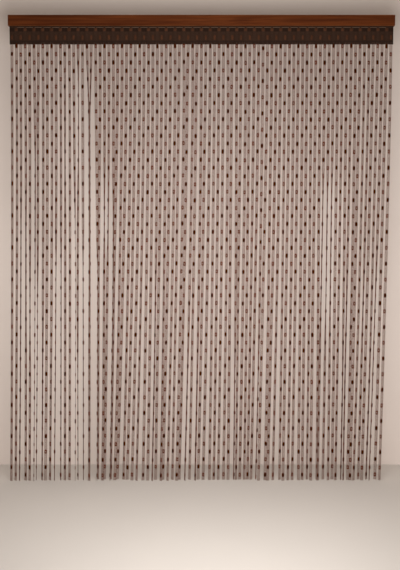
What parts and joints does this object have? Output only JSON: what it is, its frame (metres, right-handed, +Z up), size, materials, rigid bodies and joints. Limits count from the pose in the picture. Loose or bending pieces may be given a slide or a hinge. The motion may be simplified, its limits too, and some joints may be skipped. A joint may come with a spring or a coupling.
{
  "type": "string curtain on a wooden rail",
  "caption": "Curtain of separate flat ribbons with small woven blocks, hanging floor-length from a dark woven heading under a plain wooden rail.",
  "frame": {"origin": "middle of the rail's flat top face, which is screwed up against a ceiling", "axes": "+Z up, X along the curtain, -Y towards the room, the side that the picture shows"},
  "size_m": [2.1155, 0.038, 2.5558],
  "materials": {
    "rail_wood": "chestnut stain with a satin varnish",
    "heading_weave": "dense dark brown weave with rust blocks",
    "ribbon_yarn": "sheer taupe ribbon with dark brown chenille blocks"
  },
  "bodies": {
    "root": {"rail": "rail_wood", "heading": "heading_weave", "strands": "ribbon_yarn"}
  },
  "joints": []
}
